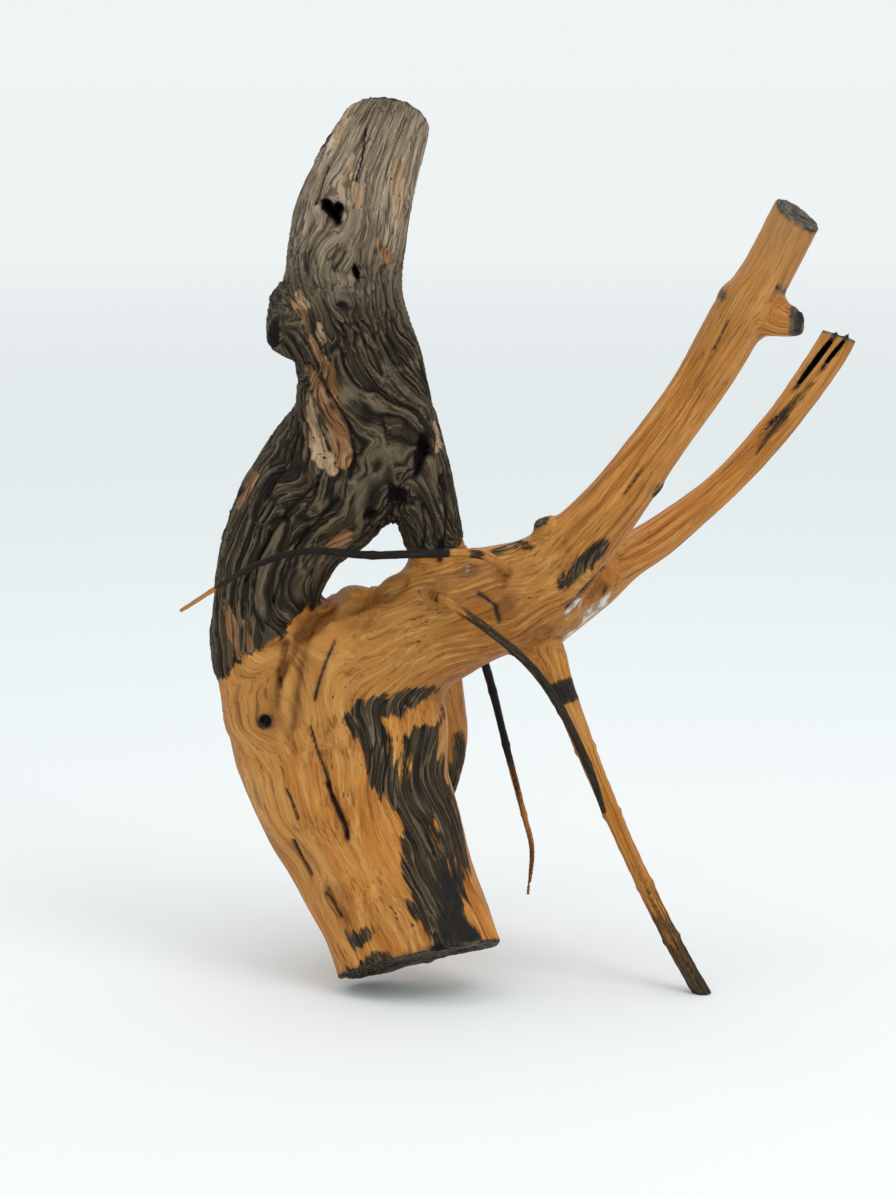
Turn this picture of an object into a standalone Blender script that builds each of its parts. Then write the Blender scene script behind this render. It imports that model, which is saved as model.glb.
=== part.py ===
"""A piece of driftwood: one grown piece of root and stem.

It stands on the rim of its sawn foot, on a thin prop branch and on a short root behind the foot. A dark
weathered trunk rises on the left and comes back down to the arm as a second strand, which leaves a loop.
Two cut branches rise to the right, and three thin shoots hang and reach out from the arm.

Lists are in millimetres and the scene is in metres, +Z up. The origin is on the floor under the middle of
the piece, and -Y is its front.
"""
import bpy
import bmesh
from math import cos, pi, sin
from mathutils import Matrix, Vector

MM = 0.001

# Thick limbs: centre x, y, z, then half width (in the X-Z plane) and half depth.
FOOT = [
    (-47, -47, 5, 41, 31), (-62, -32, 43, 42, 32), (-82, -13, 89, 48, 36),
    (-91, -3, 124, 55, 38), (-101, 4, 155, 51, 36), (-113, 6, 170, 38, 32),
]
TRUNK = [
    (-112, 2, 137, 30, 32), (-129, 6, 164, 27, 33), (-128, 8, 185, 25, 30), (-123, 10, 204, 28, 30),
    (-114, 12, 226, 31, 31), (-96, 14, 247, 38, 32), (-80, 15, 270, 36, 31), (-80, 14, 300, 31, 29),
    (-88, 10, 336, 28, 27), (-84, 6, 375, 27, 26), (-70, 2, 413, 23, 23), (-59, 0, 441, 17, 19),
]
STRAND = [
    (-65, 12, 271, 24, 24), (-54, 10, 252, 18, 20), (-46, 7, 226, 15, 17), (-41, 7, 196, 14, 16),
]
ARM = [
    (-98, 2, 140, 38, 36), (-72, 0, 156, 32, 35), (-45, -2, 176, 31, 32), (-17, 0, 186, 27, 29),
    (8, 4, 191, 26, 28), (26, 10, 196, 22, 26),
]
FRONT_BRANCH = [
    (-4, 4, 188, 25, 24), (19, 0, 207, 20, 21), (44, -11, 238, 15, 15), (65, -23, 269, 13, 13),
    (84, -34, 299, 13, 13), (101, -45, 333, 14, 14), (112, -51, 352, 12.4, 12.4), (132, -64, 394, 12.4, 12.4),
]
REAR_BRANCH = [
    (9, 26, 173, 19, 18), (34, 34, 187, 17, 17), (53, 38, 201, 13.5, 14), (70, 40, 213, 10.5, 11),
    (102, 42, 239, 8.4, 8.4), (130, 44, 270, 8.7, 8.6), (154, 46, 304, 9.4, 9), (163, 46, 321, 9, 8.6),
]
REAR_ROOT = [
    (-54, 28, 162, 22, 20), (-46, 36, 134, 18, 17), (-39, 45, 109, 12.5, 13), (-41, 50, 88, 11, 12),
    (-52, 54, 62, 11, 11.5), (-66, 58, 34, 10, 10.5), (-84, 62, -4, 8, 8),
]
TRUNK_STUB = [(-97, 6, 314, 20, 17), (-110, 2, 322, 15, 15), (-126, -3, 325, 14, 12)]
TRUNK_KNOT = [(-87, 4, 403, 12, 12), (-95, 1, 417, 5, 6)]
BRANCH_STUB = [(108, -47, 335, 10, 10), (119, -50, 330, 8.6, 8.6), (130, -54, 329, 7, 7)]
ARM_STUB = [(19, -2, 213, 8, 8), (11, -4, 223, 5, 6), (7, -5, 229, 4.4, 5)]
THICK_LIMBS = (FOOT, TRUNK, STRAND, ARM, FRONT_BRANCH, REAR_BRANCH, REAR_ROOT, TRUNK_STUB, TRUNK_KNOT,
               BRANCH_STUB, ARM_STUB)

# Thin limbs, round in section: centre x, y, z, then radius.
PROP_BRANCH = [
    (0, 0, 173, 15), (12, -4, 161, 9.7), (19, -8, 145, 6.4), (34, -17, 108, 4.8), (52, -27, 67, 4.2),
    (72, -38, 27, 4.2), (89, -45, -3, 4.2),
]
HANGING_SHOOT = [
    (-48, -16, 194, 3), (-41, -31, 194, 2.8), (-21, -42, 183, 2.5), (2, -46, 164, 2.5),
    (18, -45, 141, 2.5), (32, -44, 111, 2.3), (39, -46, 90, 1.5),
]
REACHING_SHOOT = [
    (-2, -12, 198, 3.5), (-19, -28, 214, 2.6), (-46, -33, 216, 2.3), (-75, -37, 216, 2.4),
    (-105, -44, 219, 1.9), (-131, -50, 212, 1.8), (-165, -58, 192, 1.2),
]
REAR_SHOOT = [
    (-24, 22, 166, 3), (-17, 30, 138, 2.5), (-8, 32, 101, 2.2), (0, 31, 70, 1.8), (4, 30, 52, 1.6),
    (3, 30, 28, 1.0),
]
THIN_LIMBS = {"prop_branch": PROP_BRANCH, "hanging_shoot": HANGING_SHOOT,
              "reaching_shoot": REACHING_SHOOT, "rear_shoot": REAR_SHOOT}

# Flat cuts: a point on the cut, then the direction that the sawn or worn face looks in.
FOOT_CUT = ((-51, -43, 15.9), (0.200, -0.398, -0.895))
TRUNK_CUT = ((-67, -20, 434), (0.22, 0.42, 0.88))
FRONT_BRANCH_CUT = ((126, -60, 379), (0.52, -0.36, 0.77))
REAR_BRANCH_CUT = ((161, 46, 314), (0.30, 0.05, 0.95))
TRUNK_STUB_CUT = ((-119, -3, 325), (-0.90, -0.40, -0.10))
FLOOR_CUT = ((0, 0, 0), (0, 0, -1))
FLAT_CUTS = {"foot": FOOT_CUT, "trunk": TRUNK_CUT, "front_branch": FRONT_BRANCH_CUT,
             "rear_branch": REAR_BRANCH_CUT, "trunk_stub": TRUNK_STUB_CUT, "floor": FLOOR_CUT}
CUT_SIZES = {"foot": 110, "trunk": 90, "front_branch": 50, "rear_branch": 40, "trunk_stub": 36, "floor": 400}
CUT_DEPTH = 44

KNOT_HOLE = ((-92, -20, 378), 7)
SPLIT_SLOT = ((151, 44, 312), (2.4, 30, 22), 34)

RING_SIDES = 28
STEPS_PER_SPAN = 4
VOXEL = 3
KEPT_SHARE = 0.15


def new_collection(name):
    """Adds a collection to the scene."""
    collection = bpy.data.collections.new(name)
    bpy.context.scene.collection.children.link(collection)
    return collection


def smooth_path(stations, steps):
    """Points along a Catmull-Rom curve that runs through every station."""
    rows = [Vector(row) for row in stations]
    rows = [2 * rows[0] - rows[1]] + rows + [2 * rows[-1] - rows[-2]]
    path = []
    for before, start, end, after in zip(rows, rows[1:], rows[2:], rows[3:]):
        for step in range(steps):
            t = step / steps
            path.append(0.5 * (2 * start + (end - before) * t
                               + (2 * before - 5 * start + 4 * end - after) * t ** 2
                               + (3 * start - before - 3 * end + after) * t ** 3))
    path.append(rows[-2])
    return path


def add_loft(bm, stations):
    """Adds one closed limb of oval rings, each square to the limb's path."""
    path = smooth_path(stations, STEPS_PER_SPAN)
    centres = [Vector(row[:3]) for row in path]
    rings = []
    for index, row in enumerate(path):
        ahead = centres[min(index + 1, len(path) - 1)] - centres[max(index - 1, 0)]
        across = ahead.cross(Vector((0, 1, 0))).normalized()
        inward = across.cross(ahead).normalized()
        ring = []
        for side in range(RING_SIDES):
            turn = 2 * pi * side / RING_SIDES
            offset = across * row[3] * cos(turn) + inward * row[4] * sin(turn)
            ring.append(bm.verts.new((centres[index] + offset) * MM))
        rings.append(ring)
    faces = [bm.faces.new(rings[0]), bm.faces.new(reversed(rings[-1]))]
    for low, high in zip(rings, rings[1:]):
        for side in range(RING_SIDES):
            after = (side + 1) % RING_SIDES
            faces.append(bm.faces.new((low[after], low[side], high[side], high[after])))
    bmesh.ops.recalc_face_normals(bm, faces=faces)


def thick_wood(name, collection):
    """All the thick limbs as one mesh, which the voxel remesh then grows together."""
    bm = bmesh.new()
    for stations in THICK_LIMBS:
        add_loft(bm, stations)
    mesh = bpy.data.meshes.new(name)
    bm.to_mesh(mesh)
    bm.free()
    wood = bpy.data.objects.new(name, mesh)
    collection.objects.link(wood)
    return wood


def thin_limb(name, stations, collection):
    """A thin round limb: a bevelled curve made into a closed mesh."""
    curve = bpy.data.curves.new(name, "CURVE")
    curve.dimensions = "3D"
    curve.bevel_depth = MM
    curve.bevel_resolution = 2
    curve.use_fill_caps = True
    path = smooth_path(stations, 2)
    spline = curve.splines.new("POLY")
    spline.points.add(len(path) - 1)
    for point, row in zip(spline.points, path):
        point.co = (row[0] * MM, row[1] * MM, row[2] * MM, 1)
        point.radius = row[3]
    guide = bpy.data.objects.new(name + "_guide", curve)
    collection.objects.link(guide)
    bpy.context.view_layer.update()
    mesh = bpy.data.meshes.new_from_object(guide.evaluated_get(bpy.context.evaluated_depsgraph_get()))
    limb = bpy.data.objects.new(name, mesh)
    limb.matrix_world = guide.matrix_world
    bpy.data.objects.remove(guide)
    bm = bmesh.new()
    bm.from_mesh(mesh)
    bmesh.ops.remove_doubles(bm, verts=bm.verts, dist=0.01 * MM)
    bm.to_mesh(mesh)
    bm.free()
    return hide_helper(limb, collection)


def hide_helper(helper, collection):
    """Puts a cutter or a joined limb in its collection, out of the render."""
    helper.hide_render = True
    helper.display_type = "WIRE"
    collection.objects.link(helper)
    return helper


def box_cutter(name, size, placement, collection):
    """A box of the given size in millimetres, placed by a matrix in metres."""
    bm = bmesh.new()
    bmesh.ops.create_cube(bm, size=1, matrix=placement @ Matrix.Diagonal(Vector(size) * MM).to_4x4())
    mesh = bpy.data.meshes.new(name)
    bm.to_mesh(mesh)
    bm.free()
    return hide_helper(bpy.data.objects.new(name, mesh), collection)


def flat_cutter(name, cut, width, collection):
    """A box that lies on the far side of a flat cut, with one face on the cut."""
    point, outward = (Vector(part) for part in cut)
    turn = outward.to_track_quat("Z", "Y").to_matrix().to_4x4()
    middle = point + outward.normalized() * CUT_DEPTH / 2
    placement = Matrix.Translation(middle * MM) @ turn
    return box_cutter(name + "_cutter", (width, width, CUT_DEPTH), placement, collection)


def split_cutter(collection):
    """The slot that runs down from the top of the rear branch, where the wood has split."""
    point, size, lean = SPLIT_SLOT
    turn = Matrix.Rotation(lean * pi / 180, 4, "Y")
    return box_cutter("split_cutter", size, Matrix.Translation(Vector(point) * MM) @ turn, collection)


def knot_hole_cutter(collection):
    """The open hollow that a lost knot left high in the front of the trunk."""
    point, radius = KNOT_HOLE
    bm = bmesh.new()
    bmesh.ops.create_icosphere(bm, subdivisions=2, radius=radius * MM,
                               matrix=Matrix.Translation(Vector(point) * MM))
    mesh = bpy.data.meshes.new("knot_hole_cutter")
    bm.to_mesh(mesh)
    bm.free()
    return hide_helper(bpy.data.objects.new("knot_hole_cutter", mesh), collection)


def add_boolean(wood, operation, operands):
    """Joins or cuts the wood with everything in a collection."""
    modifier = wood.modifiers.new(operation.title(), "BOOLEAN")
    modifier.operation = operation
    modifier.operand_type = "COLLECTION"
    modifier.collection = operands
    modifier.solver = "EXACT"


def grow_together(wood):
    """Melts the overlapping limbs into one skin, eases their joints and thins the mesh."""
    remesh = wood.modifiers.new("Grown", "REMESH")
    remesh.mode = "VOXEL"
    remesh.voxel_size = VOXEL * MM
    ease = wood.modifiers.new("Ease", "SMOOTH")
    ease.factor = 0.5
    ease.iterations = 5
    thin = wood.modifiers.new("Thin", "DECIMATE")
    thin.ratio = KEPT_SHARE


def wood_material():
    """Dry honey-coloured wood."""
    material = bpy.data.materials.new("driftwood_wood")
    material.use_nodes = True
    surface = material.node_tree.nodes["Principled BSDF"]
    surface.inputs["Base Color"].default_value = (0.42, 0.23, 0.09, 1)
    surface.inputs["Roughness"].default_value = 0.75
    surface.inputs["Metallic"].default_value = 0.0
    return material


for old in list(bpy.data.objects):
    bpy.data.objects.remove(old)

driftwood = thick_wood("driftwood", new_collection("driftwood_parts"))
driftwood.data.materials.append(wood_material())

joined_limbs = new_collection("joined_limbs")
for limb_name, limb_stations in THIN_LIMBS.items():
    thin_limb(limb_name, limb_stations, joined_limbs)

cutters = new_collection("cutters")
for cut_name, flat_cut in FLAT_CUTS.items():
    flat_cutter(cut_name, flat_cut, CUT_SIZES[cut_name], cutters)
split_cutter(cutters)
knot_hole_cutter(cutters)

grow_together(driftwood)
add_boolean(driftwood, "UNION", joined_limbs)
add_boolean(driftwood, "DIFFERENCE", cutters)
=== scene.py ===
"""A piece of driftwood, built up the way it grew: foot, trunk, arm, branches and shoots, grown together into
one skin, then carved with its furrows, knots, cracks and worn ends, and coloured by where it is bare honey
wood, grey weathered wood or black. Stations are in millimetres, and every mesh is in metres."""
from math import cos, pi, radians, sin

import bpy
import numpy as np
from mathutils import Matrix, Vector


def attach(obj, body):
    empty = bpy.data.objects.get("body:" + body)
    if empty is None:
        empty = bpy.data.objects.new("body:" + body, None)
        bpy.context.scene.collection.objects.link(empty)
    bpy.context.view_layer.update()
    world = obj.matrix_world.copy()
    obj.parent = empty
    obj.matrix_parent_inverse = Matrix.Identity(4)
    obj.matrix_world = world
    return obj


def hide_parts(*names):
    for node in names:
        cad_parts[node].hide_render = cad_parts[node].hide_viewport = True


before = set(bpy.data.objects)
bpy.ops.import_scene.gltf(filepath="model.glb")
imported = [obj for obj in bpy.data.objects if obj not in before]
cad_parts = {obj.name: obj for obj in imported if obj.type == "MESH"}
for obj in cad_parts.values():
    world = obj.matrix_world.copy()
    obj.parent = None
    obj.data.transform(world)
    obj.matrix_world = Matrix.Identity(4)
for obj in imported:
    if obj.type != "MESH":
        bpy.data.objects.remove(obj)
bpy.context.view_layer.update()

# ---------------------------------------------------------------------------------------------- sawn foot
# The thick end of the root, sawn across at the bottom, honey-coloured and worn smooth by water, with a dark
# band of old weathered wood down its front. A limb is a row of oval rings, each given by its centre, half
# width and half depth, bridged into a closed tube. Marks are kept in lists, to be carved when all is grown.
MM = 0.001
RING_SIDES, RING_SPACING = 36, 5
FRONT, BACK = -1, 1
limbs = {}
cuts, holes, knots, cracks, dents = [], [], [], [], []
grey_strokes, honey_strokes, tan_strokes, pale_strokes, black_strokes, white_strokes = [], [], [], [], [], []


def limb_path(stations, spacing):
    """Rows of centre, half width and half depth along a smooth curve through the stations."""
    rows = np.array([row if len(row) == 5 else (*row, row[3]) for row in stations], float)
    rows = np.vstack([2 * rows[0] - rows[1], rows, 2 * rows[-1] - rows[-2]])
    path = []
    for before, start, end, after in zip(rows, rows[1:], rows[2:], rows[3:]):
        steps = max(2, int(np.linalg.norm(end[:3] - start[:3]) / spacing))
        t = np.linspace(0, 1, steps, endpoint=False)[:, None]
        path.append(0.5 * (2 * start + (end - before) * t
                           + (2 * before - 5 * start + 4 * end - after) * t ** 2
                           + (3 * start - before - 3 * end + after) * t ** 3))
    return np.vstack(path + [rows[-2:-1]])


def unit(vectors):
    """The same vectors, each one long."""
    return vectors / np.maximum(np.linalg.norm(vectors, axis=-1, keepdims=True), 1e-9)


def limb_axes(path):
    """The directions across, into and along the limb at each row of its path."""
    ahead = unit(np.gradient(path[:, :3], axis=0))
    across = unit(np.cross(ahead, (0, 1, 0)))
    return across, np.cross(across, ahead), ahead


def grow_limb(name, stations, start=0):
    """Adds a limb as a closed tube; start is how far up the grain its first ring lies."""
    path = limb_path(stations, RING_SPACING)
    across, inward, ahead = limb_axes(path)
    bpy.ops.object.select_all(action="DESELECT")
    for index, row in enumerate(path):
        axes = Matrix((across[index], inward[index], ahead[index]))
        centre = Vector(row[:3]) * MM
        bpy.ops.mesh.primitive_circle_add(vertices=RING_SIDES, radius=MM, location=centre,
                                          rotation=axes.transposed().to_euler())
        if index == 0:
            bpy.ops.object.transform_apply(location=True, rotation=True, scale=True)
            bpy.context.object.name = name
            bpy.ops.object.mode_set(mode="EDIT")
        bpy.ops.transform.resize(value=(row[3], row[4], 1), orient_type="GLOBAL", orient_matrix_type="GLOBAL",
                                 orient_matrix=axes, center_override=centre)
    bpy.ops.mesh.select_all(action="SELECT")
    bpy.ops.mesh.bridge_edge_loops()
    bpy.ops.mesh.select_all(action="SELECT")
    bpy.ops.mesh.fill_holes(sides=0)
    bpy.ops.mesh.select_all(action="SELECT")
    bpy.ops.mesh.normals_make_consistent(inside=False)
    bpy.ops.object.mode_set(mode="OBJECT")
    limbs[name] = (stations, start)
    return bpy.context.object


thick = [grow_limb("foot", [
    (-47, -47, 5, 41, 31), (-62, -32, 43, 42, 32), (-82, -13, 89, 48, 36),
    (-91, -3, 124, 55, 38), (-102, 4, 155, 52, 36), (-113, 6, 170, 38, 32)])]
cuts.append(((-51, -43, 15.9), (0.200, -0.398, -0.895), 110))
holes += [((-41, -70, 29), (7, 6, 4), (0, 0, 0)), ((-127, -33, 132), (4.4, 9, 5.0), (0, 0, 0)),
          ((-119, -33, 153), (1.2, 6, 4.4), (0, 8, 0))]
grey_strokes += [
    ([(-45, 148, 3), (-58, 144, 6), (-71, 140, 6), (-79, 138, 5), (-86, 136, 1)], FRONT),
    ([(-77, 136, 7), (-71, 121, 9), (-69, 110, 8), (-60, 101, 8)], FRONT),
    ([(-43, 131, 4), (-48, 124, 8), (-47, 113, 6), (-46, 107, 6), (-49, 96, 12)], FRONT),
    ([(-53, 98, 9), (-47, 91, 13), (-44, 79, 15), (-43, 63, 15), (-43, 50, 14), (-37, 40, 11), (-31, 30, 9)],
     FRONT),
    ([(-81, 29, 4), (-76, 34, 3.5)], FRONT),
    ([(-70, 150, 6), (-74, 120, 9), (-66, 90, 12), (-58, 60, 10), (-52, 42, 5)], BACK),
    ([(-120, 118, 4), (-108, 92, 6), (-98, 70, 3)], BACK)]
honey_strokes += [([(-44, 134, 2.5), (-58, 131, 3.5), (-61, 122, 2.5), (-59, 112, 2.5), (-56, 105, 1.5)],
                   FRONT),
                  ([(-44, 84, 0.6), (-39, 72, 1.4), (-34, 61, 0.6)], FRONT)]
black_strokes += [([(-38, 66, 5), (-36, 52, 8), (-34, 38, 9), (-28, 32, 7)], FRONT)]
cracks += [([(-104, -40, 131), (-101, -42, 121), (-97, -44, 110), (-94, -46, 101)], 0.8, 1.4),
           ([(-96, -45, 104), (-91, -48, 92), (-87, -51, 84), (-86, -52, 78)], 1.3, 3.2),
           ([(-116, -40, 100), (-112, -42, 92), (-110, -43, 86)], 0.7, 1.0),
           ([(-113, -43, 74), (-108, -45, 64), (-104, -47, 58)], 1.0, 1.6),
           ([(-96, -48, 52), (-94, -49, 48), (-90, -50, 42), (-88, -50, 38)], 2.2, 1.9),
           ([(-97, -48, 50), (-93, -49, 45), (-90, -50, 39)], 0.7, 1.0),
           ([(-116, -25, 170), (-118, -28, 160), (-119, -30, 150)], 1.6, 2.4),
           ([(-106, -26, 176), (-108, -29, 163), (-110, -32, 152), (-113, -37, 130)], 1.8, 1.8),
           ([(-92, -28, 172), (-96, -31, 163), (-100, -34, 152), (-102, -36, 144)], 1.0, 1.0),
           ([(-60, 34, 128), (-66, 30, 104), (-70, 20, 80)], 1.4, 2.6)]
knots += [((-126, -30, 132), 5), ((-95, -50, 50), 5), ((-70, 38, 120), 8), ((-100, 38, 160), 7)]

# ---------------------------------------------------------------------------------------- weathered trunk
# The old stem, grey and furrowed, finer towards its worn, slanted top and paler there, partly as painted
# light from above. A heart-shaped knot hole, a slit and a broken stub mark where branches died, and strips of
# tan wood show where the grey has flaked off.
thick.append(grow_limb("trunk", [
    (-117, 2, 141, 38, 33), (-128.5, 6, 164, 26, 33), (-128, 8, 185, 25, 30), (-123, 10, 204, 28, 30),
    (-113, 12, 226, 31, 31), (-94, 14, 247, 36, 32), (-80, 15, 270, 36, 31), (-80, 14, 300, 31, 29),
    (-88, 10, 336, 28, 27), (-84, 6, 375, 27, 26), (-69, 2, 413, 21.5, 23), (-58, 0, 441, 14.5, 18)],
    start=140))
thick.append(grow_limb("trunk_stub", [(-97, 4, 312, 18, 15), (-112, 0, 321, 13, 12), (-130, -8, 327, 12, 11)],
                       start=320))
thick.append(grow_limb("stub_point", [(-108, -2, 328, 8, 8), (-117, -1, 336, 5, 5), (-121, 0, 343, 2, 2)],
                       start=330))
thick.append(grow_limb("trunk_knot", [(-87, 4, 401, 12, 12), (-95, 0, 412, 6, 7)], start=400))
cuts += [((-67, -20, 434), (0.22, 0.42, 0.88), 90), ((-120, -6, 322), (-0.84, -0.53, 0.10), 40)]
holes += [((-95, -20, 382), (3.7, 22, 3.8), (0, 0, 0)), ((-89.4, -20, 380.6), (3.5, 22, 3.6), (0, 0, 0)),
          ((-90.2, -20, 377), (3.2, 22, 5.0), (0, -16, 0)),
          ((-92.4, -20, 378.6), (3.0, 22, 4.8), (0, -40, 0)),
          ((-81, -18, 350), (1.9, 12, 4.8), (0, -14, 0)), ((-88, -20, 334), (4.5, 5, 3.4), (0, 0, 0)),
          ((-121, -9, 320), (2.6, 2.6, 7.0), (0, 0, 30)), ((-97, -4, 413), (2.4, 6, 3.6), (0, 0, 0))]
tan_strokes += [
    ([(-105, 302, 2), (-99, 293, 4.5), (-93, 282, 5), (-89, 270, 5.5), (-88, 260, 5)], FRONT),
    ([(-99, 309, 1.5), (-94, 301, 3.4), (-91, 293, 2.5)], FRONT),
    ([(-70, 365, 0.6), (-67, 358, 2.4), (-64, 351, 0.6)], FRONT), ([(-95, 217, 1.5), (-87, 222, 3)], FRONT),
    ([(-103, 319, 1), (-100, 311, 1.8)], FRONT), ([(-112, 334, 1), (-107, 330, 2.4), (-106, 322, 1)], FRONT),
    ([(-146, 186, 2), (-142, 176, 3), (-140, 164, 2)], FRONT), ([(-136, 180, 1.4), (-134, 168, 2.2)], FRONT),
    ([(-140, 235, 1.5), (-132, 250, 2)], FRONT), ([(-70, 320, 1), (-74, 300, 4), (-84, 276, 3)], BACK),
    ([(-96, 390, 1), (-94, 372, 3), (-98, 356, 1)], BACK)]
pale_strokes += [([(-106, 290, 1.4), (-103, 275, 3), (-99, 262, 4.5), (-93, 256, 4)], FRONT),
                 ([(-61, 402, 3), (-60, 389, 3.8), (-60, 376, 2)], FRONT),
                 ([(-86, 394, 2), (-80, 389, 3.6), (-79, 382, 1.6)], FRONT),
                 ([(-83, 405, 2), (-82, 397, 1)], FRONT),
                 ([(-84, 424, 1.5), (-89, 415, 2)], FRONT), ([(-82, 366, 1.2), (-83, 358, 0.6)], FRONT),
                 ([(-108.5, 339, 2), (-106, 334, 2.4)], FRONT),
                 ([(-99.5, 325, 0.8), (-98.5, 320, 2), (-97, 316, 0.8)], FRONT)]
cracks += [([(-76, -21, 418), (-78, -21, 404), (-81, -21, 394)], 0.8, 1.6),
           ([(-94, -18, 400), (-97, -18, 390), (-100, -16, 382)], 0.8, 1.6),
           ([(-104, -18, 305), (-94, -20, 290), (-86, -20, 278), (-82, -20, 262), (-84, -20, 250)], 1.2, 2.4),
           ([(-110, -16, 300), (-110, -18, 280), (-112, -20, 262), (-126, -20, 240)], 1.2, 2.2),
           ([(-100, -20, 248), (-112, -21, 238), (-124, -21, 222), (-136, -19, 200)], 1.2, 2.4),
           ([(-90, -18, 240), (-104, -20, 226), (-116, -20, 210), (-122, -22, 190)], 1.1, 2.2),
           ([(-76, 42, 330), (-82, 45, 300), (-88, 46, 270), (-104, 44, 240)], 1.6, 3.4),
           ([(-70, 26, 420), (-78, 31, 396), (-82, 34, 372)], 1.0, 2.2)]
dents += [((-78, -22, 268), (11, 10, 26), 3.5), ((-92, -22, 322), (12, 10, 12), 3.5),
          ((-112, -10, 300), (8, 12, 16), 4), ((-64, -20, 300), (8, 8, 30), 2.0),
          ((-128, 30, 220), (16, 14, 24), 3), ((-60, 40, 330), (14, 14, 30), 3)]
knots += [((-91, -17, 382), 8), ((-81, -17, 350), 4), ((-88, -17, 335), 6), ((-93, -9, 413), 5),
          ((-119, -3, 323), 12), ((-120, 35, 230), 9), ((-80, 40, 300), 7), ((-70, 34, 378), 6)]

# ------------------------------------------------------------------------------------------ second strand
# The part of the trunk that comes back down to the arm, which leaves the open loop between the two. Its upper
# end has rotted into cavities, painted black inside as painted shade.
thick.append(grow_limb("strand", [
    (-41, 7, 196, 14, 16), (-46, 7, 226, 15, 17), (-54, 10, 252, 18, 20), (-65, 12, 271, 24, 24)], start=207))
holes += [((-50, -9, 262), (4.0, 9, 12), (0, 14, 0)), ((-46, -7, 279), (2.4, 7, 4), (0, 0, 0)),
          ((-62, -11, 241), (6.0, 8, 5.5), (0, 0, 0)), ((-75, -10, 232), (4.5, 6, 3), (0, -20, 0)),
          ((-41, -12, 216), (1.8, 6, 3.4), (0, 0, 0))]
pale_strokes += [([(-43, 275, 1.5), (-41, 266, 2.6), (-43, 262, 1)], FRONT)]
cracks += [([(-40, -10, 250), (-37, -10, 235), (-38, -11, 222), (-41, -11, 210)], 1.2, 2.4),
           ([(-50, -10, 236), (-48, -11, 225), (-50, -11, 215)], 1.0, 1.8)]
knots += [((-62, -7, 241), 8), ((-50, -6, 262), 7)]

# ---------------------------------------------------------------------------------------------------- arm
# The thick golden limb that leaves the foot to the right and carries both branches. A thin curled lip runs
# along its top, over a brown hollow, and small burls and a scrap of bark sit beside it.
thick.append(grow_limb("arm", [
    (-98, 2, 140, 38, 36), (-72, 0, 156, 32, 35), (-45, -2, 176, 31, 32), (-17, 0, 186, 27, 29),
    (8, 4, 191, 26, 28), (26, 10, 196, 22, 26)], start=150))
thick.append(grow_limb("arm_stub", [(19, -2, 213, 8, 8), (11, -4, 223, 5.5, 7), (7, -5, 229, 5, 6)],
                       start=280))
white_strokes += [([(-27.2, 206.2, 0.9), (-26.8, 206, 0.9)], FRONT)]
holes += [((5, -7, 231), (3, 5, 2.6), (0, -40, 0))]
grey_strokes += [([(-15, 213, 1.5), (-5, 217, 2.5), (3, 216, 1.5)], FRONT),
                 ([(-98, 202, 4), (-101, 194, 4.5), (-104, 187, 3)], FRONT),
                 ([(-20, 170, 4), (0, 176, 7), (16, 186, 4)], BACK)]
cracks += [([(-121, -33, 140), (-120, -29, 152), (-110, -25, 172), (-96, -20, 183), (-82, -17, 187),
             (-66, -20, 193), (-58, -22, 199)], 2.0, 2.2),
           ([(-22, -30, 196), (-14, -30, 190), (-12, -30, 182)], 1.4, 0.8),
           ([(-8, -24, 204), (-12, -28, 196), (-6, -29, 188)], 1.8, 1.0),
           ([(-36, 30, 196), (-18, 32, 192), (0, 34, 186)], 1.4, 2.4)]
dents += [((-84, -22, 181), (20, 10, 6), 3.5), ((-88, -9, 191), (9, 8, 5), 1.6),
          ((-73, -9, 193), (9, 8, 5), 1.2), ((-62, -14, 199), (7, 6, 5), -1.0),
          ((-51, -31, 192), (3, 4, 2.4), -1.6), ((-45, -29, 197), (3, 4, 2.4), -1.8),
          ((-38, -30, 193), (2.6, 4, 3), -1.4), ((-47, -31, 189), (1.4, 4, 1.2), 1.2),
          ((-42, -30, 194), (1.2, 4, 1.4), 1.4), ((-5, -8, 216), (9, 9, 3), -2.0),
          ((10, -24, 178), (9, 8, 8), 2)]
knots += [((-45, -27, 195), 7), ((-27, -18, 206), 4), ((-8, -28, 190), 6), ((-30, 28, 190), 7),
          ((8, -18, 172), 6)]

# ----------------------------------------------------------------------------------------------- branches
# Two branches rise to the right. The front one is thick and sawn off, with a broken side twig near its top;
# the rear one is thinner, its end has split open, and its root is bleached white.
thick.append(grow_limb("front_branch", [
    (-4, 4, 188, 25, 24), (19, 0, 207, 20, 21), (44, -11, 238, 15, 15), (65, -23, 269, 13, 13),
    (84, -34, 299, 13, 13), (101, -45, 333, 14, 14), (112, -51, 352, 12.4, 12.4),
    (132, -64, 394, 12.4, 12.4)], start=255))
thick.append(grow_limb("branch_stub", [
    (108, -47, 335, 10, 10), (119, -50, 330, 8.6, 8.6), (130, -54, 329, 7, 7)], start=420))
thick.append(grow_limb("rear_branch", [
    (9, 26, 174, 18, 18), (33, 34, 189, 15, 16), (53, 38, 203, 12, 13), (70, 40, 213, 10.5, 11),
    (102, 42, 239, 8.4, 8.4), (130, 44, 270, 8.7, 8.6), (154, 46, 304, 9.4, 9), (163, 46, 321, 9, 8.6)],
    start=265))
cuts += [((126, -60, 379), (0.52, -0.36, 0.77), 50), ((161, 46, 314), (0.30, 0.05, 0.95), 40),
         ((128, -55, 331), (0.80, -0.30, 0.50), 30)]
holes += [((147, 40, 302), (1.3, 10, 19), (0, 36, 0)), ((156, 40, 306), (1.1, 10, 13), (0, 38, 0)),
          ((126, 36, 272), (0.9, 3.5, 9), (0, 42, 0)), ((128, -56, 332), (3, 3, 3), (0, 0, 0))]
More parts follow.
